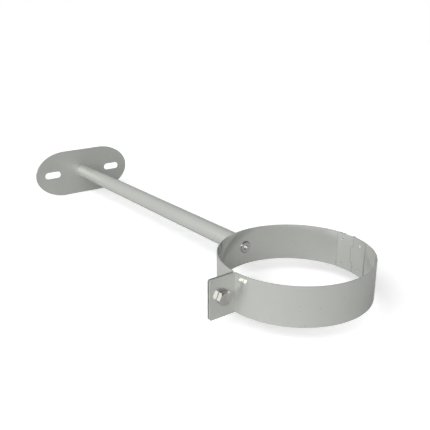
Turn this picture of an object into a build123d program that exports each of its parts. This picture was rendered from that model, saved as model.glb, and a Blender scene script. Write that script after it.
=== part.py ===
from build123d import *
import os
from math import asin, cos, degrees, radians, sin, sqrt, tan

# Flue wall clamp: a hinged two-part ring for a vertical flue, held off the wall by a round stay.
# The origin is on the flue's axis, halfway up the ring. +Z is up the flue and -X points at the wall.
# Places around the ring are angles in degrees from +Y, counted towards +X.
# All lengths are millimetres.

os.makedirs("parts", exist_ok=True)

# Ring, bent from strip in two halves, each with an ear folded out
band_inner_radius = 76.5
band_thickness = 1.0
band_height = 40.0
fold_inner_radius = 0.8
ear_length = 29.0
ear_gap = 1.6
ear_corner_radius = 2.0
rear_band_end_angle = -1.75
band_end_gap = 0.6

# Hinge inside the ring, with two riveted leaves and a pin
hinge_angle = 5.9
leaf_thickness = 0.8
leaf_height = 40.0
rear_leaf_edge_angle = -8.7
front_leaf_edge_angle = 21.3
middle_knuckle_height = 18.0
knuckle_end_gap = 0.2
knuckle_side_gap = 0.25
curl_slit = 0.3
curl_slit_angle = 20.0
pin_radius = 0.75
pin_gap = 0.05
pin_chamfer = 0.2

# Rivets that hold the leaves
rear_rivet_angle = -4.6
front_rivet_angle = 15.2
rivet_pitch = 28.0
rivet_radius = 0.8
rivet_hole_gap = 0.05
rivet_head_radius = 1.3
rivet_head_rise = 0.4

# Clamp bolt and nut, M8 sizes
thread_radius = 4.0
thread_gap = 0.05
hex_across_flats = 13.0
hex_turn = 5.0
bolt_head_height = 5.3
bolt_length = 16.0
bolt_tip_chamfer = 0.8
nut_height = 6.5
ear_hole_gap = 0.5
ear_slot_margin = 0.2

# Stay: tube with an end piece pressed into each end
tube_radius = 10.0
tube_wall = 2.0
tube_length = 403.5
tube_end_chamfer = 0.3
end_piece_length = 20.0
end_piece_gap = 0.03
spigot_radius = 5.0
spigot_gap = 0.05

# Screw that holds the ring on the stay
screw_head_radius = 6.65
screw_head_rim = 0.3
screw_head_height = 0.9
screw_head_slope = 1.75
screw_length = 16.0
screw_hole_gap = 0.3
socket_across_flats = 5.0
socket_depth = 3.0

# Wall plate
plate_length = 154.0
plate_height = 70.0
plate_thickness = 1.5
plate_end_length = 48.0
wall_slot_spacing = 100.0
wall_slot_length = 25.0
wall_slot_width = 10.0

# Sizes and places that follow
band_outer_radius = band_inner_radius + band_thickness
ear_inner_face = ear_gap / 2
ear_outer_face = ear_inner_face + band_thickness
ear_tip = band_outer_radius + ear_length
bolt_axis_y = -(band_outer_radius + ear_length / 2)
hex_corner_radius = hex_across_flats / sqrt(3)
hex_face_radius = 0.475 * hex_across_flats

leaf_outer_radius = band_inner_radius
leaf_inner_radius = leaf_outer_radius - leaf_thickness
knuckle_bore = pin_radius + pin_gap
knuckle_radius = knuckle_bore + leaf_thickness
hinge_radius = leaf_inner_radius + knuckle_radius
window_height = middle_knuckle_height + 2 * knuckle_end_gap
window_reach = knuckle_radius + knuckle_side_gap
rivet_hole_depth = 3 * band_thickness + 2 * leaf_thickness
front_band_end_angle = hinge_angle + degrees((knuckle_radius + band_end_gap) / band_inner_radius)

tube_inner_radius = tube_radius - tube_wall
tube_front_x = -band_outer_radius
plate_front_x = tube_front_x - tube_length
plate_back_x = plate_front_x - plate_thickness


def around(angle, radius):
    """Point on a circle about the flue's axis, at an angle from +Y towards +X."""
    return Vector(radius * sin(radians(angle)), radius * cos(radians(angle)))


def outward_plane(angle, radius, height):
    """Plane at a place on the ring, with its y direction pointing straight out of the ring."""
    out = around(angle, 1)
    return Plane(
        origin=(radius * out.X, radius * out.Y, height),
        x_dir=(0, 0, 1),
        z_dir=(-out.Y, out.X, 0),
    )


hinge_point = around(hinge_angle, hinge_radius)
hinge_plane = Plane(
    origin=hinge_point,
    x_dir=(cos(radians(hinge_angle)), -sin(radians(hinge_angle)), 0),
    z_dir=(0, 0, 1),
)


def half_band_profile(side, end_angle):
    """Strip section of one half: the half ring, the fold and the ear.

    side is 1 for the front half, towards +X, and -1 for the rear half.
    """
    outer_fold_angle = side * (180 - degrees(asin(ear_outer_face / band_outer_radius)))
    inner_fold_angle = side * (180 - degrees(asin(ear_inner_face / band_inner_radius)))
    outer_fold = around(outer_fold_angle, band_outer_radius)
    inner_fold = around(inner_fold_angle, band_inner_radius)
    ear_outer_tip = (side * ear_outer_face, -ear_tip)
    ear_inner_tip = (side * ear_inner_face, -ear_tip)
    with BuildSketch() as profile:
        with BuildLine():
            Polyline(outer_fold, ear_outer_tip, ear_inner_tip, inner_fold)
            CenterArc((0, 0), band_inner_radius, 90 - end_angle, end_angle - inner_fold_angle)
            Line(around(end_angle, band_inner_radius), around(end_angle, band_outer_radius))
            CenterArc((0, 0), band_outer_radius, 90 - end_angle, end_angle - outer_fold_angle)
        make_face()
        fillet(profile.vertices().sort_by_distance(outer_fold)[0], fold_inner_radius)
        fillet(profile.vertices().sort_by_distance(inner_fold)[0], fold_inner_radius + band_thickness)
    return profile.sketch


def leaf_profile(edge_angle, curl_side):
    """Section of a hinge leaf: a curved strip that ends in a rolled eye round the pin.

    The eye's free end stops short of the leaf's back, so a slit runs along the roll.
    curl_side is -1 where the strip arrives from the rear half and 1 from the front half.
    """
    with BuildSketch() as profile:
        with BuildLine():
            CenterArc((0, 0), leaf_inner_radius, 90 - edge_angle, edge_angle - hinge_angle)
            Line(around(hinge_angle, leaf_inner_radius), around(hinge_angle, leaf_outer_radius))
            CenterArc((0, 0), leaf_outer_radius, 90 - edge_angle, edge_angle - hinge_angle)
            Line(around(edge_angle, leaf_inner_radius), around(edge_angle, leaf_outer_radius))
        make_face()
        with Locations(hinge_point):
            Circle(knuckle_radius)
            Circle(knuckle_bore, mode=Mode.SUBTRACT)
        slit_turn = -hinge_angle - curl_side * curl_slit_angle
        with Locations(Location(hinge_point, slit_turn)):
            with Locations((curl_side * (knuckle_bore + knuckle_radius) / 2, 0)):
                Rectangle(leaf_thickness + curl_slit, curl_slit, mode=Mode.SUBTRACT)
    return profile.sketch


def rivet_places(angle):
    """Planes just outside the ring at the two rivets of one leaf, facing straight out."""
    out = around(angle, 1)
    start = around(angle, band_outer_radius + band_thickness)
    heights = (-rivet_pitch / 2, rivet_pitch / 2)
    return [Plane(origin=(start.X, start.Y, z), z_dir=(out.X, out.Y, 0)) for z in heights]


def rivet(angle, height):
    """Rivet with a low domed head inside the ring and a flat formed head outside."""
    # The leaf is hollow there, so the inner head's flat underside bears on it at the two sides
    inner_seat = sqrt(leaf_inner_radius**2 - rivet_head_radius**2)
    outer_seat = band_outer_radius
    dome_top = inner_seat - rivet_head_rise
    dome_radius = (rivet_head_radius**2 + rivet_head_rise**2) / (2 * rivet_head_rise)
    outer_top = outer_seat + rivet_head_rise
    outer_flat_radius = rivet_head_radius - rivet_head_rise / 2
    with BuildPart() as turned:
        with BuildSketch(outward_plane(angle, 0, height)):
            with BuildLine():
                RadiusArc((0, dome_top), (rivet_head_radius, inner_seat), -dome_radius)
                Polyline(
                    (rivet_head_radius, inner_seat),
                    (rivet_radius, inner_seat),
                    (rivet_radius, outer_seat),
                    (rivet_head_radius, outer_seat),
                    (rivet_head_radius, outer_top - rivet_head_rise / 2),
                    (outer_flat_radius, outer_top),
                    (0, outer_top),
                    (0, dome_top),
                )
            make_face()
        out = around(angle, 1)
        revolve(axis=Axis((0, 0, height), (out.X, out.Y, 0)))
    return turned.part


def corner_cut(end_x, outward):
    """Ring with a 30 degree slope that takes the corners off a hexagon's end on the bolt's axis.

    outward is 1 for an end that faces +X and -1 for one that faces -X.
    """
    cutter_radius = 2 * hex_corner_radius
    slope_depth = (cutter_radius - hex_face_radius) * tan(radians(30))
    with BuildPart() as cutter:
        with BuildSketch():
            with BuildLine(Plane((0, bolt_axis_y, 0))):
                Polyline(
                    (end_x, hex_face_radius),
                    (end_x + outward * hex_corner_radius, hex_face_radius),
                    (end_x + outward * hex_corner_radius, cutter_radius),
                    (end_x - outward * slope_depth, cutter_radius),
                    close=True,
                )
            make_face()
        revolve(axis=Axis((0, bolt_axis_y, 0), (1, 0, 0)))
    return cutter.part


# Rear half of the ring, with the hole for the stay's screw and a slot for the clamp bolt.
# The bolt swings out of the rear ear on an arc about the hinge, so its hole there is a short slot
# that runs outwards along the ear.
bolt_tip_x = ear_outer_face - bolt_length
shank_travel = -ear_inner_face - bolt_tip_x
bolt_arm = hinge_point.Y - bolt_axis_y
bolt_lean = (hinge_point.X + ear_inner_face) / bolt_arm
shank_drift = shank_travel**2 / (2 * bolt_arm) + shank_travel * bolt_lean
slot_run = shank_drift + ear_slot_margin
rear_profile = half_band_profile(-1, rear_band_end_angle)

with BuildPart() as rear_band:
    with BuildSketch(Plane.XY.offset(-band_height / 2)):
        add(rear_profile)
    extrude(amount=band_height)
    with BuildSketch(Plane.YZ.offset(-band_outer_radius - band_thickness)):
        Circle(thread_radius + screw_hole_gap)
    extrude(amount=3 * band_thickness, mode=Mode.SUBTRACT)
    with Locations(*rivet_places(rear_rivet_angle)):
        Hole(rivet_radius + rivet_hole_gap, depth=rivet_hole_depth)
    with BuildSketch(Plane.YZ.offset(-ear_inner_face)):
        with Locations((bolt_axis_y - slot_run / 2, 0)):
            SlotCenterToCenter(slot_run, 2 * (thread_radius + ear_hole_gap))
    extrude(amount=-2 * band_thickness, mode=Mode.SUBTRACT)
    fillet(rear_band.edges().filter_by(Axis.X).group_by(Axis.Y)[0], ear_corner_radius)
rear_band.part.label = "rear_band"
export_step(rear_band.part, "parts/rear_band.step")

# Front half of the ring, which swings on the hinge
front_profile = half_band_profile(1, front_band_end_angle)

with BuildPart() as front_band:
    with BuildSketch(Plane.XY.offset(-band_height / 2)):
        add(front_profile)
    extrude(amount=band_height)
    with Locations(*rivet_places(front_rivet_angle)):
        Hole(rivet_radius + rivet_hole_gap, depth=rivet_hole_depth)
    with BuildSketch(Plane.YZ.offset(ear_inner_face)):
        with Locations((bolt_axis_y, 0)):
            Circle(thread_radius + ear_hole_gap)
    extrude(amount=2 * band_thickness, mode=Mode.SUBTRACT)
    fillet(front_band.edges().filter_by(Axis.X).group_by(Axis.Y)[0], ear_corner_radius)
front_band.part.label = "front_band"
export_step(front_band.part, "parts/front_band.step")

# Rear hinge leaf: the top and bottom knuckles, with a window between them
rear_leaf_profile = leaf_profile(rear_leaf_edge_angle, -1)

with BuildPart() as rear_hinge_leaf:
    with BuildSketch(Plane.XY.offset(-leaf_height / 2)):
        add(rear_leaf_profile)
    extrude(amount=leaf_height)
    with BuildSketch(hinge_plane.offset(-window_height / 2)):
        Rectangle(2 * window_reach, 4 * knuckle_radius)
    extrude(amount=window_height, mode=Mode.SUBTRACT)
    with Locations(*rivet_places(rear_rivet_angle)):
        Hole(rivet_radius + rivet_hole_gap, depth=rivet_hole_depth)
rear_hinge_leaf.part.label = "rear_hinge_leaf"
export_step(rear_hinge_leaf.part, "parts/rear_hinge_leaf.step")

# Front hinge leaf: the middle knuckle alone
front_leaf_profile = leaf_profile(front_leaf_edge_angle, 1)

with BuildPart() as front_hinge_leaf:
    with BuildSketch(Plane.XY.offset(-leaf_height / 2)):
        add(front_leaf_profile)
    extrude(amount=leaf_height)
    for side in (1, -1):
        with BuildSketch(hinge_plane.offset(side * middle_knuckle_height / 2)):
            Rectangle(2 * window_reach, 4 * knuckle_radius)
        extrude(amount=side * leaf_height, mode=Mode.SUBTRACT)
    with Locations(*rivet_places(front_rivet_angle)):
        Hole(rivet_radius + rivet_hole_gap, depth=rivet_hole_depth)
front_hinge_leaf.part.label = "front_hinge_leaf"
export_step(front_hinge_leaf.part, "parts/front_hinge_leaf.step")

# Hinge pin, as long as the leaves
with BuildPart() as hinge_pin:
    with BuildSketch(hinge_plane.offset(-leaf_height / 2)):
        Circle(pin_radius)
    extrude(amount=leaf_height)
    chamfer(hinge_pin.edges().filter_by(GeomType.CIRCLE), pin_chamfer)
hinge_pin.part.label = "hinge_pin"
export_step(hinge_pin.part, "parts/hinge_pin.step")

# Four rivets, an upper and a lower one in each leaf
for half, angle in (("rear", rear_rivet_angle), ("front", front_rivet_angle)):
    for level, height in (("upper", rivet_pitch / 2), ("lower", -rivet_pitch / 2)):
        piece = rivet(angle, height)
        piece.label = f"{half}_rivet_{level}"
        export_step(piece, f"parts/{half}_rivet_{level}.step")

# Clamp bolt: the head bears on the front ear, and the shank goes through both ears and the nut.
# The heights of the head and the nut are measured along X.
head_corner_cut = corner_cut(ear_outer_face + bolt_head_height, 1)

with BuildPart() as clamp_bolt:
    with BuildSketch(Plane.YZ.offset(ear_outer_face)):
        with Locations((bolt_axis_y, 0)):
            RegularPolygon(hex_corner_radius, 6, rotation=hex_turn)
    extrude(amount=bolt_head_height)
    add(head_corner_cut, mode=Mode.SUBTRACT)
    with BuildSketch(Plane.YZ.offset(ear_outer_face)):
        with Locations((bolt_axis_y, 0)):
            Circle(thread_radius)
    extrude(amount=-bolt_length)
    chamfer(clamp_bolt.edges().filter_by(GeomType.CIRCLE).group_by(Axis.X)[0], bolt_tip_chamfer)
clamp_bolt.part.label = "clamp_bolt"
export_step(clamp_bolt.part, "parts/clamp_bolt.step")

# Clamp nut behind the rear ear, with both ends chamfered
nut_corner_cuts = [
    corner_cut(-ear_outer_face, 1),
    corner_cut(-ear_outer_face - nut_height, -1),
]

with BuildPart() as clamp_nut:
    with BuildSketch(Plane.YZ.offset(-ear_outer_face)):
        with Locations((bolt_axis_y, 0)):
            RegularPolygon(hex_corner_radius, 6)
            Circle(thread_radius + thread_gap, mode=Mode.SUBTRACT)
    extrude(amount=-nut_height)
    add(nut_corner_cuts, mode=Mode.SUBTRACT)
clamp_nut.part.label = "clamp_nut"
export_step(clamp_nut.part, "parts/clamp_nut.step")

# Stay tube, from the back of the ring to the wall plate
with BuildPart() as stay_tube:
    with BuildSketch(Plane.YZ.offset(tube_front_x)):
        Circle(tube_radius)
        Circle(tube_inner_radius, mode=Mode.SUBTRACT)
    extrude(amount=-tube_length)
    outer_rims = stay_tube.edges().filter_by(GeomType.CIRCLE).group_by(SortBy.RADIUS)[-1]
    chamfer(outer_rims, tube_end_chamfer)
stay_tube.part.label = "stay_tube"
export_step(stay_tube.part, "parts/stay_tube.step")

# End piece pressed into the tube at the ring, bored through for the screw
end_piece_radius = tube_inner_radius - end_piece_gap
with BuildPart() as ring_end_piece:
    with BuildSketch(Plane.YZ.offset(tube_front_x)):
        Circle(end_piece_radius)
        Circle(thread_radius + thread_gap, mode=Mode.SUBTRACT)
    extrude(amount=-end_piece_length)
ring_end_piece.part.label = "ring_end_piece"
export_step(ring_end_piece.part, "parts/ring_end_piece.step")

# End piece at the wall, with a spigot that goes through the plate and is finished flush behind it
with BuildPart() as wall_end_piece:
    with BuildSketch(Plane.YZ.offset(plate_front_x)):
        Circle(end_piece_radius)
    extrude(amount=end_piece_length)
    with BuildSketch(Plane.YZ.offset(plate_front_x)):
        Circle(spigot_radius)
    extrude(amount=-plate_thickness)
wall_end_piece.part.label = "wall_end_piece"
export_step(wall_end_piece.part, "parts/wall_end_piece.step")

# Screw through the rear half into the stay: a thin head with a sloping rim and a hexagon socket.
# The wall is hollow there, so the head's flat underside bears on it at the two sides.
screw_seat_x = -sqrt(band_inner_radius**2 - screw_head_radius**2)
screw_face_x = screw_seat_x + screw_head_height
screw_tip_x = screw_seat_x - screw_length
with BuildPart() as band_screw:
    with BuildSketch(Plane.XY):
        with BuildLine():
            Polyline(
                (screw_tip_x, 0),
                (screw_tip_x, thread_radius - bolt_tip_chamfer),
                (screw_tip_x + bolt_tip_chamfer, thread_radius),
                (screw_seat_x, thread_radius),
                (screw_seat_x, screw_head_radius),
                (screw_seat_x + screw_head_rim, screw_head_radius),
                (screw_face_x, screw_head_radius - screw_head_slope),
                (screw_face_x, 0),
                close=True,
            )
        make_face()
    revolve(axis=Axis.X)
    with BuildSketch(Plane.YZ.offset(screw_face_x)):
        RegularPolygon(socket_across_flats / sqrt(3), 6)
    extrude(amount=-socket_depth, mode=Mode.SUBTRACT)
band_screw.part.label = "band_screw"
export_step(band_screw.part, "parts/band_screw.step")

# Wall plate: straight along the middle, a half ellipse at each end, two level slots for wall screws
straight_length = plate_length - 2 * plate_end_length
with BuildPart() as wall_plate:
    with BuildSketch(Plane.YZ.offset(plate_front_x)):
        Rectangle(straight_length, plate_height)
        with Locations((-straight_length / 2, 0), (straight_length / 2, 0)):
            Ellipse(plate_end_length, plate_height / 2)
        with Locations((-wall_slot_spacing / 2, 0), (wall_slot_spacing / 2, 0)):
            SlotOverall(wall_slot_length, wall_slot_width, mode=Mode.SUBTRACT)
        Circle(spigot_radius + spigot_gap, mode=Mode.SUBTRACT)
    extrude(amount=-plate_thickness)
wall_plate.part.label = "wall_plate"
export_step(wall_plate.part, "parts/wall_plate.step")

print(f"ring inner radius {band_inner_radius}, outer radius {band_outer_radius}")
print(f"hinge axis at x {hinge_point.X:.4f}, y {hinge_point.Y:.4f}")
print(f"clamp bolt axis at y {bolt_axis_y:.3f}, tip at x {bolt_tip_x:.3f}, slot run {slot_run:.3f}")
print(f"wall plate back at x {plate_back_x:.3f}, screw face at x {screw_face_x:.3f}")
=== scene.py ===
# %% [markdown]
# # Flue wall clamp
# This clamp keeps a metal flue at a fixed distance from a wall. Two half rings of steel strip
# close round the flue on a hinge and a clamp bolt. A round stay joins the ring to an oval wall
# plate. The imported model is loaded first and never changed: it says where everything is. Each
# piece made below stands for one of its nodes, in the same place, and moves with the same body.

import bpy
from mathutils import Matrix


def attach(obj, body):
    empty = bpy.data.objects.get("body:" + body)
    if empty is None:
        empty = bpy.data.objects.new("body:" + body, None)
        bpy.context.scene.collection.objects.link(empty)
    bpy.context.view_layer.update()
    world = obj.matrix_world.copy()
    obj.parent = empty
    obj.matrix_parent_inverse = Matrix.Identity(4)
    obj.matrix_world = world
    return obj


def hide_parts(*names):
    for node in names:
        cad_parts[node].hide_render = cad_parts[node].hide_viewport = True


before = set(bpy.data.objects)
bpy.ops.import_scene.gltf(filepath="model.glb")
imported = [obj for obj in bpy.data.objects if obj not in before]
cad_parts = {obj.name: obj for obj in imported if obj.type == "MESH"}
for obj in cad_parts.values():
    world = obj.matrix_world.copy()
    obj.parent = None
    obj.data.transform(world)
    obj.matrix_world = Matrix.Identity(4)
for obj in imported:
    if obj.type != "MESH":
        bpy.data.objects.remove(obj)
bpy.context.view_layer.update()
print("nodes:", ", ".join(sorted(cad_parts)))

# %% [markdown]
# ## The camera
# The photograph looks down on the clamp from its front right, a little under 20 degrees above
# level, with the ring near the camera and the wall plate far away. A camera is placed by its
# spot, the direction it looks in and its focal length. These values were found by laying the
# model's outline over the photograph until the two agreed, so nothing is cropped or shifted.

# %% Place the camera
from math import asin, ceil, copysign, cos, degrees, pi, radians, sin, sqrt, tan

import bmesh
import bpy
from mathutils import Matrix, Vector

focal_length = 49.32
camera_spot = (0.3764, -0.3851, 0.2437)
view_azimuth = 142.79
view_dip = 19.22

camera_lens = bpy.data.cameras.new("camera")
camera_lens.lens = focal_length
camera = bpy.data.objects.new("camera", camera_lens)
camera.location = camera_spot
camera.rotation_euler = (radians(90 - view_dip), 0, radians(view_azimuth - 90))
bpy.context.collection.objects.link(camera)
bpy.context.scene.camera = camera
print("camera looks towards", view_azimuth, "degrees and", view_dip, "down")

# %% [markdown]
# ## Colours and nodes
# Colours are written as the hex values that a screen shows, but a shader adds light in linear
# values. One function turns the first into the second. A second small function adds a shader
# node, fills in its settings and links it, so each finish further down reads as a short list.

# %% Helpers for colours and nodes
def to_linear(hex_colour):
    """A screen colour such as #b4b7b0 as linear red, green, blue and full opacity."""
    shares = [int(hex_colour[place:place + 2], 16) / 255 for place in (1, 3, 5)]
    return [s / 12.92 if s <= 0.04045 else ((s + 0.055) / 1.055) ** 2.4 for s in shares] + [1]


def add_node(tree, kind, settings, links):
    """Adds a node. A name or number of a socket gets its value or link; other names are options."""
    node = tree.nodes.new(kind)
    for name, value in settings.items():
        if isinstance(name, int) or name in node.inputs:
            node.inputs[name].default_value = value
        else:
            setattr(node, name, value)
    for name, source in links.items():
        tree.links.new(source, node.inputs[name])
    return node


print("white is", to_linear("#ffffff"))

# %% [markdown]
# ## What zinc-plated steel shows
# All parts are steel with a thin electroplated zinc layer. Its crystals are very fine. Part of
# the light is scattered between them, which gives the soft even grey of the band. The rest is
# reflected sharply, so the bright sides of the bolt show again in the band beside it. A metallic
# value of about 0.6 with a low roughness gives both at once. On the bolt and the screw it is close
# to 1. Three patterns break up the plain grey: soft clouds where the zinc is thicker, fine lines
# along the way the steel was rolled or drawn, and a few faint specks. Each has its size in
# millimetres. Small fittings also get painted shade, a thin dark line in their creases.

# %% A function for zinc-plated finishes
MM = 0.001


def position_in_mm(tree):
    """Object coordinates in millimetres. Every finished piece sits at the origin."""
    place = add_node(tree, "ShaderNodeTexCoord", {}, {})
    return add_node(
        tree, "ShaderNodeVectorMath", {"operation": "SCALE", "Scale": 1 / MM},
        {0: place.outputs["Object"]},
    ).outputs[0]


def straight_grain(sizes):
    """Lines along the axis that has the largest size, as on rolled sheet and drawn tube."""
    def pattern(tree, position):
        return add_node(
            tree, "ShaderNodeMapping", {"Scale": [1 / size for size in sizes]},
            {"Vector": position},
        ).outputs[0]
    return pattern


def ring_grain(along, across):
    """Lines round the flue, as rolled strip has after it is bent. They run on along the ears."""
    middle_radius = 77

    def pattern(tree, position):
        parts = add_node(tree, "ShaderNodeSeparateXYZ", {}, {0: position}).outputs
        angle = add_node(
            tree, "ShaderNodeMath", {"operation": "ARCTAN2"}, {0: parts["X"], 1: parts["Y"]}
        ).outputs[0]
        arc = add_node(
            tree, "ShaderNodeMath", {"operation": "MULTIPLY", 1: middle_radius / along}, {0: angle}
        ).outputs[0]
        height = add_node(
            tree, "ShaderNodeMath", {"operation": "DIVIDE", 1: across}, {0: parts["Z"]}
        ).outputs[0]
        return add_node(
            tree, "ShaderNodeCombineXYZ", {}, {"X": arc, "Y": height}
        ).outputs[0]
    return pattern


def zinc_plated(
    name, colour, cloud_colour, roughness, grain, depth, cloud_size=22.0, metal=0.6, painted_crease_shade=0.0
):
    """A zinc-plated steel finish. Sizes are in millimetres and depth is the grain's height."""
    material = bpy.data.materials.new(name)
    material.use_nodes = True
    tree = material.node_tree
    position = position_in_mm(tree)
    clouds = add_node(
        tree, "ShaderNodeTexNoise", {"Scale": 1 / cloud_size, "Detail": 4.0, "Roughness": 0.6},
        {"Vector": position},
    )
    lines = add_node(
        tree, "ShaderNodeTexNoise", {"Scale": 1.0, "Detail": 3.0, "Roughness": 0.55},
        {"Vector": grain(tree, position)},
    )
    tint = add_node(
        tree, "ShaderNodeMix",
        {"data_type": "RGBA", 6: to_linear(colour), 7: to_linear(cloud_colour)},
        {0: clouds.outputs["Fac"]},
    )
    # One speck to a cell, full in its core and gone at its radius, so most of the steel has none
    speck_cell, speck_radius, speck_core = 6.0, 0.6, 0.24
    cells = add_node(
        tree, "ShaderNodeTexVoronoi", {"Scale": 1 / speck_cell, "Randomness": 1.0},
        {"Vector": position},
    )
    specks = add_node(
        tree, "ShaderNodeMapRange",
        {"From Min": speck_core / speck_cell, "From Max": speck_radius / speck_cell,
         "To Min": 0.5, "To Max": 0.0},
        {"Value": cells.outputs["Distance"]},
    )
    marked = add_node(
        tree, "ShaderNodeMix", {"data_type": "RGBA", 7: to_linear("#565a56")},
        {0: specks.outputs["Result"], 6: tint.outputs[2]},
    )
    base = marked.outputs[2]
    if painted_crease_shade:
        # Painted shade: the colour is darker, as a thin line, where another surface is closer than
        # this
        base = add_node(
            tree, "ShaderNodeAmbientOcclusion", {"samples": 8, "Distance": painted_crease_shade * MM},
            {"Color": base},
        ).outputs["Color"]
    # Along the lines the roughness wanders a little to both sides of its value
    spread = 0.03
    blur = add_node(
        tree, "ShaderNodeMapRange",
        {"From Min": 0.3, "From Max": 0.7, "To Min": roughness - spread,
         "To Max": roughness + spread},
        {"Value": lines.outputs["Fac"]},
    )
    bump = add_node(
        tree, "ShaderNodeBump", {"Strength": 1.0, "Distance": depth * MM},
        {"Height": lines.outputs["Fac"]},
    )
    shader = tree.nodes["Principled BSDF"]
    shader.inputs["Metallic"].default_value = metal
    tree.links.new(base, shader.inputs["Base Color"])
    tree.links.new(blur.outputs["Result"], shader.inputs["Roughness"])
    tree.links.new(bump.outputs["Normal"], shader.inputs["Normal"])
    print("finish:", name)
    return material


# %% [markdown]
# ## The finishes
# The strip of the ring and the leaves was cold rolled before it was cut, so its lines run round
# the ring. The tube was drawn, so its lines run along it. The plate is sheet with level lines.
# Real rolling lines are about 0.1 mm apart, too fine for a picture this size, so they are drawn
# 0.8 mm apart and very shallow. The colours are the pale, slightly green grey that zinc has
# beside the warmer grey of the bolt and the screw.

# %% Make the finishes
# An even satin grey with the bolt's bright mark in it, nearly as sharp as in a mirror
ring_finish = zinc_plated(
    "satin zinc-plated rolled strip", "#d6d8d3", "#d0d2cd", 0.05, ring_grain(30, 0.8), 0.0005
)
# The same grey, a little duller, with painted shade as thin dark seams where pieces meet
leaf_finish = zinc_plated(
    "satin zinc-plated rolled hinge strip", "#d6d8d3", "#d0d2cd", 0.36, ring_grain(20, 0.8),
    0.001, cloud_size=12.0, painted_crease_shade=1.2
)
# Drawn along the tube, with softer reflections than the band's
tube_finish = zinc_plated(
    "satin zinc-plated drawn tube", "#d6d9d3", "#d0d3cd", 0.15, straight_grain((40, 0.8, 0.8)),
    0.001
)
# A flat, darker and more scattered grey, with a soft image of the tube in it
plate_finish = zinc_plated(
    "satin zinc-plated cold-rolled sheet", "#ced0cb", "#c8cbc5", 0.36,
    straight_grain((0.8, 30, 0.8)), 0.0005, metal=0.5
)
# Bright and dark sides with hard edges between them, in a warmer grey, and painted shade as a thin
# dark line in its creases
bolt_finish = zinc_plated(
    "bright zinc-plated forged steel", "#d0cdca", "#cac7c3", 0.08,
    straight_grain((1.5, 1.5, 1.5)), 0.003, cloud_size=5.0, metal=0.92, painted_crease_shade=1.5
)
# Bright marks on the rim and in the socket, and a thin dark line of painted shade where the head
# meets the band
screw_finish = zinc_plated(
    "bright zinc-plated turned steel", "#d0cecf", "#c8c6c7", 0.1,
    straight_grain((1.0, 1.0, 1.0)), 0.002, cloud_size=4.0, metal=1.0, painted_crease_shade=1.5
)
# A pale crescent, too small for any pattern to show. The near-white colour is a painted highlight,
# and the hollow gets painted shade
rivet_finish = zinc_plated(
    "zinc-plated riveting steel, pale as a painted highlight", "#fafaf8", "#f4f4f1", 0.36,
    straight_grain((0.8, 0.8, 0.8)), 0.001, cloud_size=2.0, metal=0.2, painted_crease_shade=1.5
)
# A dark dot of painted shade in the rivet's bore
bore_painted_shade = zinc_plated(
    "painted shade in the bore of a rivet", "#4c4d4c", "#404140", 0.5,
    straight_grain((0.8, 0.8, 0.8)), 0.001, cloud_size=2.0, metal=0.2
)
# Dull turned bar, of which only the wall end shows, from behind
end_piece_finish = zinc_plated(
    "zinc-plated turned bar", "#b0b1ae", "#a5a6a3", 0.36, straight_grain((6, 0.8, 0.8)), 0.002,
    cloud_size=8.0
)

# %% [markdown]
# ## From a mesh in millimetres to a finished piece
# Pieces are shaped in millimetres, because that is how a workshop drawing gives them. At the end
# one function merges double points, turns the faces outwards, brings the mesh to metres and ties
# the piece to the frame. Sheared, turned and forged edges are never knife sharp, and a rounded
# edge is what catches the light. A Bevel modifier rounds every edge that turns by more than 25
# degrees, and Harden Normals keeps the flat faces beside it looking flat.

# %% Function that finishes a piece
merge_distance = 0.0005


def finish_piece(shape, name, material, body, node, edge):
    """Makes an object of a bmesh, with edges rounded by a width in millimetres."""
    bmesh.ops.remove_doubles(shape, verts=shape.verts, dist=merge_distance)
    bmesh.ops.recalc_face_normals(shape, faces=shape.faces)
    bmesh.ops.scale(shape, vec=(MM, MM, MM), verts=shape.verts)
    mesh = bpy.data.meshes.new(name)
    shape.to_mesh(mesh)
    shape.free()
    mesh.shade_smooth()
    mesh.materials.append(material)
    piece = bpy.data.objects.new(name, mesh)
    bpy.context.collection.objects.link(piece)
    rounding = piece.modifiers.new("rounded edges", "BEVEL")
    rounding.width = edge * MM
    rounding.segments = 2
    rounding.limit_method = "ANGLE"
    rounding.angle_limit = radians(25)
    rounding.harden_normals = True
    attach(piece, body)
    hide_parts(node)
    print(name, "has", len(mesh.polygons), "faces before its edges are rounded")
    return piece


# %% [markdown]
# ## Sheet metal: cut a flat blank, then bend it
# The half rings and the hinge leaves are made from flat strip. The maker punches the holes while
# the strip is flat and bends it afterwards, and the same order works well in a mesh: an outline
# with holes is filled, gets its thickness, and is then bent point by point. The other way, to
# bend first and cut holes in a curved wall, needs Boolean cuts and leaves rough shading.

# %% Functions that cut a flat blank
def thicken(shape, offset):
    """Fills the outlines of a sheet with its holes, and gives it its thickness as an offset."""
    bmesh.ops.triangle_fill(shape, use_beauty=True, use_dissolve=False, edges=shape.edges[:])
    made = bmesh.ops.extrude_face_region(shape, geom=shape.faces[:])
    back = [item for item in made["geom"] if isinstance(item, bmesh.types.BMVert)]
    bmesh.ops.translate(shape, vec=offset, verts=back)


def cut_blank(corners, holes, thickness, end_radius=0.0):
    """A blank along X, upright in Z. A hole is (along, up, radius, run) and run makes it a slot."""
    shape = bmesh.new()
    shape.faces.new([shape.verts.new((along, 0, up)) for along, up in corners])
    if end_radius:
        start_corners = [v for v in shape.verts if v.co.x < 0.001]
        bmesh.ops.bevel(
            shape, geom=start_corners, offset=end_radius, offset_type="OFFSET", segments=6,
            profile=0.5, affect="VERTICES", material=-1,
        )
    bmesh.ops.delete(shape, geom=shape.faces[:], context="FACES_ONLY")
    for along, up, radius, run in holes:
        place = Matrix.Translation((along, 0, up)) @ Matrix.Rotation(pi / 2, 4, "X")
        hole = bmesh.ops.create_circle(
            shape, cap_ends=False, radius=radius, segments=32, matrix=place
        )
        for vert in hole["verts"]:
            if vert.co.x < along:
                vert.co.x -= run
    thicken(shape, (0, thickness, 0))
    return shape


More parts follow.
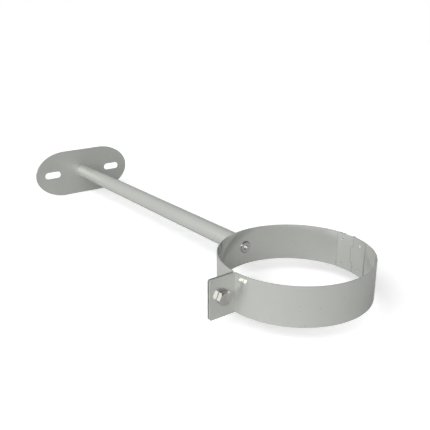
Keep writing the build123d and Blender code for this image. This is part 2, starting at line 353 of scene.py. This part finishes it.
# %% [markdown]
# ### Bending
# A bend has a start along the blank, a centre and an angle. The centre is a distance to the left
# of the blank's face, or to the right if it is below zero. First the blank gets a cross cut every
# degree or two, so that it can follow a curve. Then every point is rolled round each bend that it
# lies beyond, the far bends first. Last, the flat triangles between two cuts are merged back into
# one clean face.

# %% Function that bends a blank
def bend_blank(shape, bends):
    """Bends a blank about upright axes. A bend is (start, centre, angle, degrees per cut)."""
    for start, centre, angle, step in bends:
        cuts = ceil(angle / step)
        length = abs(centre) * radians(angle)
        for number in range(cuts + 1):
            bmesh.ops.bisect_plane(
                shape, geom=shape.verts[:] + shape.edges[:] + shape.faces[:], dist=0.00001,
                plane_co=(start + length * number / cuts, 0, 0), plane_no=(1, 0, 0),
            )
    for vert in shape.verts:
        place = vert.co.x
        for start, centre, angle, step in reversed(bends):
            if place > start:
                along = min(place - start, abs(centre) * radians(angle))
                middle = Vector((start, centre, 0))
                slid = vert.co - Vector((along, 0, 0))
                vert.co = Matrix.Rotation(along / centre, 3, "Z") @ (slid - middle) + middle
    bmesh.ops.dissolve_limit(
        shape, angle_limit=radians(0.3), use_dissolve_boundaries=False,
        verts=shape.verts[:], edges=shape.edges[:],
    )


# %% [markdown]
# ## The two half rings
# Each half is one strip, 40 mm wide and 1 mm thick: an ear, a tight fold and half a circle. The
# ear's face lies to the right of the fold, so that bend is given a centre below zero, and the
# ring's centre is on the left. The front ear has a round hole for the clamp bolt. The rear ear
# has a short slot, because the bolt leaves it on an arc when the front half swings open.

# %% Sizes of the strip
ring_radius = 77.5
strip_thickness = 1.0
inner_radius = ring_radius - strip_thickness
strip_height = 40.0
ear_face = 1.8
ear_tip = 106.5
ear_corner_radius = 2.0
fold_radius = 0.8
bolt_distance = 92.0
ear_hole_radius = 4.5
ear_slot_run = 1.425
rivet_height = 14.0
rivet_hole_radius = 0.85
screw_hole_radius = 4.3

fold_turn = degrees(asin((ear_face + fold_radius) / (ring_radius + fold_radius)))
fold_distance = sqrt((ring_radius + fold_radius) ** 2 - (ear_face + fold_radius) ** 2)
fold_start = ear_tip - fold_distance
fold_angle = 90 - fold_turn
ring_start = fold_start + fold_radius * radians(fold_angle)
print("ear", round(fold_start, 2), "mm to the fold, fold of", round(fold_angle, 1), "degrees")


# %% Function that makes one half ring
def half_ring(end_angle, bolt_slot_run, rivet_angle, screw_angle=None):
    """One half, bent in the front half's place. Angles are from +Y towards the ear."""
    ring_angle = 180 - fold_turn - end_angle
    length = ring_start + ring_radius * radians(ring_angle)
    half = strip_height / 2
    outline = ((0, -half), (length, -half), (length, half), (0, half))
    holes = [(ear_tip - bolt_distance, 0, ear_hole_radius, bolt_slot_run)]
    rivet_place = ring_start + ring_radius * radians(180 - fold_turn - rivet_angle)
    for up in (rivet_height, -rivet_height):
        holes.append((rivet_place, up, rivet_hole_radius, 0))
    if screw_angle:
        screw_place = ring_start + ring_radius * radians(180 - fold_turn - screw_angle)
        holes.append((screw_place, 0, screw_hole_radius, 0))
    shape = cut_blank(outline, holes, strip_thickness, end_radius=ear_corner_radius)
    bends = (
        # start, centre, angle, degrees per cut
        (fold_start, -fold_radius, fold_angle, 10),
        (ring_start, ring_radius, ring_angle, 1.5),
    )
    bend_blank(shape, bends)
    place = Matrix.Translation((ear_face, -ear_tip, 0)) @ Matrix.Rotation(pi / 2, 4, "Z")
    bmesh.ops.transform(shape, matrix=place, verts=shape.verts)
    return shape


# %% Make the two half rings
# Angles are from +Y, and positive on the front half's side
hinge_angle = 5.9
front_rivet_angle = 15.2
rear_rivet_angle = -4.6
rear_end_angle = -1.75
eye_radius = 1.6
end_gap = 0.6

# The front half stops a small gap short of the hinge's eyes
front_end_angle = hinge_angle + degrees((eye_radius + end_gap) / inner_radius)
shape = half_ring(front_end_angle, 0, front_rivet_angle)
finish_piece(
    shape, "front_half_ring", ring_finish, "front_half", "front_band", 0.15
)

# The rear half is bent in the same place and then mirrored, so its angles change sign
shape = half_ring(-rear_end_angle, ear_slot_run, -rear_rivet_angle, screw_angle=90)
bmesh.ops.scale(shape, vec=(-1, 1, 1), verts=shape.verts)
finish_piece(
    shape, "rear_half_ring", ring_finish, "fixed_part", "rear_band", 0.15
)

# %% [markdown]
# ## The hinge inside the ring
# The hinge is rolled from 0.8 mm strip. Each leaf lies against the inside of its half ring and
# ends in eyes rolled round the pin: two on the rear leaf, one between them on the front leaf. A
# blank with tongues is cut and bent twice, first to the ring's curve and then round the pin. The
# tongue's end stops just short of the leaf's back, as a rolled eye does, so a slit is left.

# %% Sizes of the hinge
leaf_radius = 75.7
leaf_thickness = 0.8
leaf_half_height = strip_height / 2
rear_leaf_edge = -8.7
front_leaf_edge = 21.3
eye_roll = 282.8
window_reach = 1.7
middle_eye = (-9, 9)
upper_eye = (9.2, leaf_half_height)
lower_eye = (-leaf_half_height, -9.2)
print("hinge from", rear_leaf_edge, "to", front_leaf_edge, "degrees")


def hinge_leaf(edge_angle, rivet_angle, tongues):
    """A leaf in the rear one's place. tongues are the (low, high) heights of its rolled eyes."""
    to_pin = leaf_radius * radians(abs(hinge_angle - edge_angle))
    to_window = to_pin - window_reach
    tip = to_pin + eye_radius * radians(eye_roll)
    outline = [(0, leaf_half_height), (0, -leaf_half_height), (to_window, -leaf_half_height)]
    for low, high in tongues:
        outline += [(to_window, low), (tip, low), (tip, high), (to_window, high)]
    outline.append((to_window, leaf_half_height))
    corners = [c for n, c in enumerate(outline) if c not in outline[:n]]
    rivet_place = leaf_radius * radians(abs(rivet_angle - edge_angle))
    holes = [(rivet_place, up, rivet_hole_radius, 0) for up in (rivet_height, -rivet_height)]
    shape = cut_blank(corners, holes, leaf_thickness)
    bend_blank(
        shape,
        (
            # start, centre, angle, degrees per cut
            (0, -leaf_radius, abs(hinge_angle - edge_angle), 1.5),
            (to_pin, eye_radius, eye_roll, 12),
        ),
    )
    return shape


# %% Make the two leaves
def place_on_ring(shape, angle, radius):
    """Moves a shape so that its X runs along the ring at an angle and its Y points outwards."""
    turn = radians(angle)
    spot = Vector((radius * sin(turn), radius * cos(turn), 0))
    bmesh.ops.transform(
        shape, matrix=Matrix.Translation(spot) @ Matrix.Rotation(-turn, 4, "Z"),
        verts=shape.verts,
    )


shape = hinge_leaf(rear_leaf_edge, rear_rivet_angle, (lower_eye, upper_eye))
place_on_ring(shape, rear_leaf_edge, leaf_radius)
finish_piece(
    shape, "rear_leaf", leaf_finish, "fixed_part", "rear_hinge_leaf", 0.1
)

shape = hinge_leaf(front_leaf_edge, front_rivet_angle, (middle_eye,))
bmesh.ops.scale(shape, vec=(-1, 1, 1), verts=shape.verts)
place_on_ring(shape, front_leaf_edge, leaf_radius)
finish_piece(
    shape, "front_leaf", leaf_finish, "front_half", "front_hinge_leaf", 0.1
)

# %% [markdown]
# ## Turned pieces
# A pin, a rivet, a tube and the head of a screw are round, so each is an outline swept once round
# an axis with Spin. The outline is a short list of (along, radius) points. Where it starts and
# ends on the axis the sweep closes in a pole, and the doubles there are merged.

# %% Function that turns an outline
def turn_outline(shape, outline, steps, closed=False):
    """Spins (along, radius) points round Z. closed joins the last point to the first."""
    verts = [shape.verts.new((radius, 0, along)) for along, radius in outline]
    pairs = list(zip(verts, verts[1:]))
    if closed:
        pairs.append((verts[-1], verts[0]))
    edges = [shape.edges.new(pair) for pair in pairs]
    bmesh.ops.spin(
        shape, geom=verts + edges, cent=(0, 0, 0), axis=(0, 0, 1), angle=2 * pi, steps=steps,
        use_merge=True,
    )
    bmesh.ops.remove_doubles(shape, verts=shape.verts, dist=merge_distance)


# Turns Z to point along +X, X to point along +Y and Y to point up
to_level = Matrix(((0, 0, 1, 0), (1, 0, 0, 0), (0, 1, 0, 0), (0, 0, 0, 1)))


def lay_level(shape, distance=0.0):
    """Lays a shape from the Z axis on to the level axis along X that is a distance in front."""
    bmesh.ops.transform(
        shape, matrix=Matrix.Translation((0, -distance, 0)) @ to_level, verts=shape.verts
    )


# %% [markdown]
# ### Hinge pin
# The pin is plain wire cut to the height of the leaves, with a small chamfer at both ends.

# %% Make the hinge pin
pin_radius = 0.75
pin_chamfer = 0.2
shape = bmesh.new()
turn_outline(
    shape,
    (
        (-leaf_half_height, 0), (-leaf_half_height, pin_radius - pin_chamfer),
        (-leaf_half_height + pin_chamfer, pin_radius), (leaf_half_height - pin_chamfer, pin_radius),
        (leaf_half_height, pin_radius - pin_chamfer), (leaf_half_height, 0),
    ),
    steps=24,
)
turn = radians(hinge_angle)
hinge_radius = leaf_radius + eye_radius
bmesh.ops.translate(
    shape, vec=(hinge_radius * sin(turn), hinge_radius * cos(turn), 0), verts=shape.verts
)
finish_piece(shape, "pin", leaf_finish, "fixed_part", "hinge_pin", 0.05)

# %% [markdown]
# ### Rivets
# Four small rivets hold the leaves. In the photograph each is a dark dot with a bright crescent,
# which is how a hollow rivet looks: its bore is in shade, and the lower side of its flared mouth
# catches the light. Here the bore's dark is painted shade, a dark second material, and the
# rivet's near-white colour is a painted highlight that makes the lit crescent bright. Outside,
# the formed head is flat with a sloping edge.

# %% Make the rivets
def rivet(angle, up):
    """A rivet through leaf and strip, with its axis pointing out of the ring at an angle."""
    head, rise, shank = 1.3, 0.4, 0.8
    inner_seat = sqrt(leaf_radius ** 2 - head ** 2)
    bore_bottom, flare_start = inner_seat + 1.6, inner_seat + 0.2
    # From the bore's bottom to its flared mouth, round the inner head and out to the outer head
    outline = [
        (bore_bottom, 0), (bore_bottom, 0.65), (flare_start, 0.7), (inner_seat - 0.35, 1.2),
        (inner_seat - 0.3, 1.27), (inner_seat, head), (inner_seat, shank), (ring_radius, shank),
        (ring_radius, head), (ring_radius + rise / 2, head),
        (ring_radius + rise, head - rise / 2), (ring_radius + rise, 0),
    ]
    shape = bmesh.new()
    turn_outline(shape, outline, steps=24)
    # The bore's faces get the second material, the painted shade
    for face in shape.faces:
        centre = face.calc_center_median()
        if flare_start < centre.z < bore_bottom + 0.1 and centre.xy.length < 0.75:
            face.material_index = 1  # the wall and the bottom of the bore
    turn = radians(angle)
    outwards = Matrix((
        (0, cos(turn), sin(turn), 0), (0, -sin(turn), cos(turn), 0), (1, 0, 0, up), (0, 0, 0, 1)
    ))
    bmesh.ops.transform(shape, matrix=outwards, verts=shape.verts)
    return shape


for half, body, angle in (
    ("rear", "fixed_part", rear_rivet_angle), ("front", "front_half", front_rivet_angle),
):
    for level, up in (("upper", rivet_height), ("lower", -rivet_height)):
        piece = finish_piece(
            rivet(angle, up), f"{half}_{level}_rivet", rivet_finish, body,
            f"{half}_rivet_{level}", 0.05,
        )
        piece.data.materials.append(bore_painted_shade)

# %% [markdown]
# ### Stay tube
# The stay is a plain tube of 20 mm with a 2 mm wall. The outline is its wall, closed on itself,
# so the sweep gives a tube that is open at both ends.

# %% Make the stay tube
tube_front, tube_back = -ring_radius, -481.0
tube_radius, bore_radius = 10, 8
shape = bmesh.new()
turn_outline(
    shape,
    (
        (tube_front, bore_radius), (tube_front, tube_radius), (tube_back, tube_radius),
        (tube_back, bore_radius),
    ),
    steps=96, closed=True,
)
lay_level(shape)
finish_piece(shape, "stay", tube_finish, "fixed_part", "stay_tube", 0.3)

# %% [markdown]
# ## The wall plate
# The plate is straight along its middle with half an ellipse at each end, and it has two level
# slots for the wall screws. An ellipse or circle that is pulled apart at its middle gives the
# outline and the slots alike. The outline with its holes is filled and then gets its thickness.

# %% Make the wall plate
def pulled_circle(shape, half_width, half_height, run, along=0.0):
    """An ellipse outline whose two halves are moved apart by a straight run."""
    segments = 96
    made = bmesh.ops.create_circle(
        shape, cap_ends=False, radius=1, segments=segments,
        matrix=Matrix.Diagonal((half_width, half_height, 1, 1))
        @ Matrix.Rotation(pi / segments, 4, "Z"),
    )
    for vert in made["verts"]:
        vert.co.x += along + copysign(run / 2, vert.co.x)


plate_thickness = 1.5
end_reach, plate_half_height, straight_run = 48, 35, 58
slot_radius, slot_run, slot_place = 5, 15, 50
spigot_hole_radius = 5.05
shape = bmesh.new()
pulled_circle(shape, end_reach, plate_half_height, straight_run)
for along in (-slot_place, slot_place):
    pulled_circle(shape, slot_radius, slot_radius, slot_run, along)
pulled_circle(shape, spigot_hole_radius, spigot_hole_radius, 0)
thicken(shape, (0, 0, -plate_thickness))
bmesh.ops.translate(shape, vec=(0, 0, tube_back), verts=shape.verts)
lay_level(shape)
finish_piece(shape, "plate", plate_finish, "fixed_part", "wall_plate", 0.2)

# %% [markdown]
# ## Hexagon and thread
# The clamp bolt and its nut share a hexagon and a thread. A hexagon whose corners are cut back
# by a cone has scalloped edges, which a plain chamfer doesn't give: its sides are subdivided
# first, and each point of the rim is then lowered by as much as it lies outside the face's
# circle. The thread is one tooth's outline, spun while it moves on by one pitch a turn, so it is
# a real right-hand helix and the nut stays in step as the bolt turns.

# %% Functions for rims, hexagons and threads
across_flats = 13
hexagon_corner = across_flats / sqrt(3)
face_radius = 0.475 * across_flats
corner_cone = radians(30)
pitch = 1.25
root_radius, crest_radius = 3.25, 3.97
print("hexagon of", round(2 * hexagon_corner, 2), "mm across its corners")


def rim_edges(rim):
    """The edges that join the points of a rim, in the same order in each run."""
    chosen = set(rim)
    return list(dict.fromkeys(e for v in rim for e in v.link_edges if set(e.verts) <= chosen))


def next_rim(shape, rim):
    """Extrudes a closed rim of points and gives the new points."""
    made = bmesh.ops.extrude_edge_only(shape, edges=rim_edges(rim))
    return [item for item in made["geom"] if isinstance(item, bmesh.types.BMVert)]


def hexagon_block(shape, base, top, corner_angle, cut_base):
    """Hexagon between two heights, with its rims at the face circles. Gives both inner rims."""
    # A new circle has its first corner on Y. Turned back by 30 degrees, it has one on X.
    turned = Matrix.Rotation(radians(corner_angle - 30), 4, "Z")
    made = bmesh.ops.create_circle(
        shape, cap_ends=False, radius=hexagon_corner, segments=6,
        matrix=Matrix.Translation((0, 0, base)) @ turned,
    )
    bmesh.ops.subdivide_edges(shape, edges=rim_edges(made["verts"]), cuts=9)
    # The thread is in the same mesh, so only points outside it belong to the hexagon
    low = [
        v for v in shape.verts if abs(v.co.z - base) < 0.0001 and v.co.xy.length > face_radius
    ]
    high = next_rim(shape, low)
    rims = []
    for points, height, down, cut in ((low, base, -1, cut_base), (high, top, 1, True)):
        for vert in points:
            over = vert.co.xy.length - face_radius
            vert.co.z = height - (down * over * tan(corner_cone) if cut else 0)
        face = next_rim(shape, points)
        for vert in face:
            vert.co.xy *= face_radius / vert.co.xy.length
            vert.co.z = height
        rims.append(face)
    return rims


def thread(shape, start, turns, gap):
    """Right-hand thread from a height, one tooth outline swept up. gap makes it wider all round."""
    # share of the pitch, radius
    tooth = (
        (0, root_radius), (0.25, root_radius), (0.5625, crest_radius), (0.6875, crest_radius),
        (1, root_radius),
    )
    verts = [shape.verts.new((radius + gap, 0, start + share * pitch)) for share, radius in tooth]
    edges = [shape.edges.new(pair) for pair in zip(verts, verts[1:])]
    steps_per_turn = 40
    bmesh.ops.spin(
        shape, geom=verts + edges, cent=(0, 0, 0), axis=(0, 0, 1), angle=2 * pi * turns,
        dvec=(0, 0, pitch / steps_per_turn), steps=steps_per_turn * turns, use_merge=False,
    )
    bmesh.ops.remove_doubles(shape, verts=shape.verts, dist=merge_distance)


def trim(shape, height, upwards):
    """Cuts off what lies above a height, or below it, and gives the edges of the cut."""
    made = bmesh.ops.bisect_plane(
        shape, geom=shape.verts[:] + shape.edges[:] + shape.faces[:], dist=0.0001,
        plane_co=(0, 0, height), plane_no=(0, 0, 1 if upwards else -1), clear_outer=True,
    )
    return [item for item in made["geom_cut"] if isinstance(item, bmesh.types.BMEdge)]


# %% [markdown]
# ### Clamp bolt
# The bolt's head bears on the front ear through a thin washer face. The photograph shows only
# the head, but the threaded tip is seen from behind, so the bolt gets its real thread. Near the
# tip the thread is squeezed down to a cone, which is how a rolled thread starts.

# %% Make the clamp bolt
head_height = 5.3
washer_face = 0.3
bolt_tip = ear_face - 16
tip_radius = 3.2
thread_start, thread_turns = bolt_tip - 1.5 * pitch, 15
shape = bmesh.new()
thread(shape, thread_start, thread_turns, gap=0)
for vert in shape.verts:
    allowed = tip_radius + max(0, vert.co.z - bolt_tip)
    vert.co.xy *= min(1, allowed / vert.co.xy.length)
# The shank ends inside the head, and both of its ends are closed
for edges in (trim(shape, ear_face + 0.2, True), trim(shape, bolt_tip, False)):
    bmesh.ops.contextual_create(shape, geom=edges)
base_rim, top_rim = hexagon_block(
    shape, ear_face + washer_face, ear_face + head_height, corner_angle=5, cut_base=False
)
bmesh.ops.contextual_create(shape, geom=rim_edges(top_rim))
washer_rim = next_rim(shape, base_rim)
for vert in washer_rim:
    vert.co.z = ear_face
bmesh.ops.contextual_create(shape, geom=rim_edges(washer_rim))
lay_level(shape, bolt_distance)
finish_piece(shape, "bolt_with_thread", bolt_finish, "bolt", "clamp_bolt", 0.12)

# %% [markdown]
# ### Clamp nut
# The nut has the same thread, 0.05 mm wider all round. Its bore opens in a cone at both faces,
# and there the thread's points are pushed out to the cone, so the thread fades away as it does
# in a tapped nut.

# %% Make the clamp nut
nut_height = 6.5
nut_top = -ear_face
nut_base = nut_top - nut_height
countersink = 4.3
shape = bmesh.new()
thread(shape, thread_start, thread_turns, gap=0.05)
for vert in shape.verts:
    depth = min(nut_top - vert.co.z, vert.co.z - nut_base)
    wanted = countersink - max(0, depth)
    vert.co.xy *= max(1, wanted / vert.co.xy.length)
top_edges = trim(shape, nut_top, True)
base_edges = trim(shape, nut_base, False)
base_rim, top_rim = hexagon_block(shape, nut_base, nut_top, corner_angle=0, cut_base=True)
for edges, rim in ((top_edges, top_rim), (base_edges, base_rim)):
    bmesh.ops.triangle_fill(
        shape, use_beauty=True, use_dissolve=False, edges=edges + rim_edges(rim)
    )
lay_level(shape, bolt_distance)
finish_piece(shape, "nut_with_thread", bolt_finish, "nut", "clamp_nut", 0.12)

# %% [markdown]
# ### Band screw
# The screw that holds the ring on the stay has a thin head with a sloping rim and a hexagon
# socket. The head is turned with its face left open. The socket's outline is set in the opening,
# the ring between them is filled, and the outline is then pushed down to make the socket, with a
# shallow drill point at its bottom.

# %% Make the band screw
head_radius, head_face_radius, head_rise, rim_rise = 6.65, 5.7, 0.9, 0.2
screw_radius, screw_length, tip_chamfer = 4, 16, 0.8
socket_across_flats, socket_depth, drill_point = 5, 2.6, 0.4
screw_seat = -sqrt(inner_radius ** 2 - head_radius ** 2)
screw_face = screw_seat + head_rise
screw_tip = screw_seat - screw_length
shape = bmesh.new()
turn_outline(
    shape,
    (
        (screw_tip, 0), (screw_tip, tip_radius), (screw_tip + tip_chamfer, screw_radius),
        (screw_seat, screw_radius), (screw_seat, head_radius),
        (screw_seat + rim_rise, head_radius), (screw_face, head_face_radius),
    ),
    steps=64,
)
face_rim = [v for v in shape.verts if v.co.z > screw_face - 0.001]
socket = bmesh.ops.create_circle(
    shape, cap_ends=False, radius=socket_across_flats / sqrt(3), segments=6,
    matrix=Matrix.Translation((0, 0, screw_face)) @ Matrix.Rotation(radians(-30), 4, "Z"),
)["verts"]
bmesh.ops.triangle_fill(
    shape, use_beauty=True, use_dissolve=False, edges=rim_edges(face_rim) + rim_edges(socket)
)
bottom = next_rim(shape, socket)
for vert in bottom:
    vert.co.z -= socket_depth
floor_face = bmesh.ops.contextual_create(shape, geom=rim_edges(bottom))["faces"]
point = bmesh.ops.poke(shape, faces=floor_face)["verts"]
for vert in point:
    vert.co.z -= drill_point
lay_level(shape)
finish_piece(shape, "socket_screw", screw_finish, "fixed_part", "band_screw", 0.08)

# %% [markdown]
# ## End pieces
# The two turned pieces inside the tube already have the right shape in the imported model, and
# only the wall one's end shows, flush with the plate's back. They keep their nodes and get a
# finish.

# %% Finish the end pieces
for name in ("ring_end_piece", "wall_end_piece"):
    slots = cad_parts[name].data.materials
    slots.clear()
    slots.append(end_piece_finish)
    print(name, "keeps its node")

# %% [markdown]
# ## The floor
# The plate's lower edge stands 35 mm below the ring's middle, so the floor is there. It is plain
# matt paper. The upright walls of the ring reflect it, because they are seen from above, so its
# grey sets much of their tone. To the camera it is whiter and has a little light of its own,
# just enough to reach white where nothing shades it, and the clamp's soft shadow stays in it.

# %% Make the floor
floor_size = 8
glow = 0.34
bpy.ops.mesh.primitive_plane_add(size=floor_size, location=(0, 0, -plate_half_height * MM))
floor = bpy.context.active_object
floor.name = "floor"
floor_finish = bpy.data.materials.new("pale matt paper")
floor_finish.use_nodes = True
tree = floor_finish.node_tree
paper = tree.nodes["Principled BSDF"]
paper.inputs["Roughness"].default_value = 1
paper.inputs["Specular IOR Level"].default_value = 0
ray = add_node(tree, "ShaderNodeLightPath", {}, {})
colour = add_node(
    tree, "ShaderNodeMix",
    {"data_type": "RGBA", 6: to_linear("#bebebe"), 7: to_linear("#f8f8f8")},
    {0: ray.outputs["Is Camera Ray"]},
)
lift = add_node(
    tree, "ShaderNodeMath", {"operation": "MULTIPLY", 1: glow},
    {0: ray.outputs["Is Camera Ray"]},
)
tree.links.new(colour.outputs[2], paper.inputs["Base Color"])
tree.links.new(lift.outputs[0], paper.inputs["Emission Strength"])
paper.inputs["Emission Color"].default_value = (1, 1, 1, 1)
floor.data.materials.append(floor_finish)
print("floor at", round(floor.location.z, 3), "m")

# %% [markdown]
# ## The light
# Every soft light here is a patch of the sky: full inside an inner angle from its direction and
# fading to nothing at an outer angle. The bright sides of the bolt and their image in the band
# fix where the strongest one is, a little above level and just left of the camera. A broader one
# further left makes the front of the band fall evenly from light to dark, and one high up puts
# the shadow under the clamp. The small one to the right is seen in the tube by way of the plate.

# %% Functions for the sky
def direction(azimuth, height):
    """Unit vector towards an angle from +X and a height above level, in degrees."""
    turn, lift = radians(azimuth), radians(height)
    return Vector((cos(lift) * cos(turn), cos(lift) * sin(turn), sin(lift)))


def patch(tree, sky, azimuth, height, outer, inner, level):
    """Light that grows from nothing at an outer angle from a direction to a level at an inner."""
    facing = add_node(
        tree, "ShaderNodeVectorMath", {"operation": "DOT_PRODUCT", 1: direction(azimuth, height)},
        {0: sky},
    )
    return add_node(
        tree, "ShaderNodeMapRange",
        {"interpolation_type": "SMOOTHSTEP", "From Min": cos(radians(outer)),
         "From Max": cos(radians(inner)), "To Max": level},
        {"Value": facing.outputs["Value"]},
    ).outputs["Result"]


# %% Light the scene
patches = (
    # azimuth, height, outer angle, inner angle, level
    (-58, 16, 14, 4, 3.0),
    (-55, 13, 30, 3, 2.5),
    (-26, 13, 18, 4, 1.4),
    (-92, 22, 52, 8, 1.25),
    (-150, 25, 100, 20, 0.3),
    (-74, 50, 38, 8, 2.0),
)
ambient = 0.13
world = bpy.data.worlds.new("soft studio")
world.use_nodes = True
bpy.context.scene.world = world
tree = world.node_tree
background = tree.nodes["Background"]
sky = add_node(tree, "ShaderNodeTexCoord", {}, {}).outputs["Generated"]
total = patch(tree, sky, *patches[0])
for values in patches[1:]:
    total = add_node(
        tree, "ShaderNodeMath", {"operation": "ADD"}, {0: total, 1: patch(tree, sky, *values)}
    ).outputs[0]
with_ambient = add_node(
    tree, "ShaderNodeMath", {"operation": "ADD", 1: ambient}, {0: total}
)
print("sky of", len(patches), "soft lights")

# %% [markdown]
# ### The white background
# The camera sees plain white all round. Metal and glass show that white too where it stands
# behind the clamp, and the soft lights in all other directions. With white all round for them as
# well, the bright sides of the bolt and their image in the band would be lost, because in the
# photograph they stand out against grey. Light Path tells which ray is asking, and a Mix node
# then gives it white or the sky.

# %% Show the white background
backdrop = (143, -8, 20, 10, 1.0)  # in the same order as a patch
ray = add_node(tree, "ShaderNodeLightPath", {}, {})
mirrored = add_node(
    tree, "ShaderNodeMath", {"operation": "MAXIMUM"},
    {0: ray.outputs["Is Glossy Ray"], 1: ray.outputs["Is Transmission Ray"]},
)
behind = add_node(
    tree, "ShaderNodeMath", {"operation": "MULTIPLY"},
    {0: mirrored.outputs[0], 1: patch(tree, sky, *backdrop)},
)
white = add_node(
    tree, "ShaderNodeMath", {"operation": "MAXIMUM"},
    {0: ray.outputs["Is Camera Ray"], 1: behind.outputs[0]},
)
strength = add_node(
    tree, "ShaderNodeMix", {"data_type": "FLOAT", 3: 1.0},
    {0: white.outputs[0], 2: with_ambient.outputs[0]},
)
tree.links.new(strength.outputs[0], background.inputs["Strength"])
background.inputs["Color"].default_value = (1, 1, 1, 1)
bpy.context.scene.view_settings.view_transform = "Standard"
print("white towards", backdrop[0], "degrees for metal and glass, and all round for the camera")
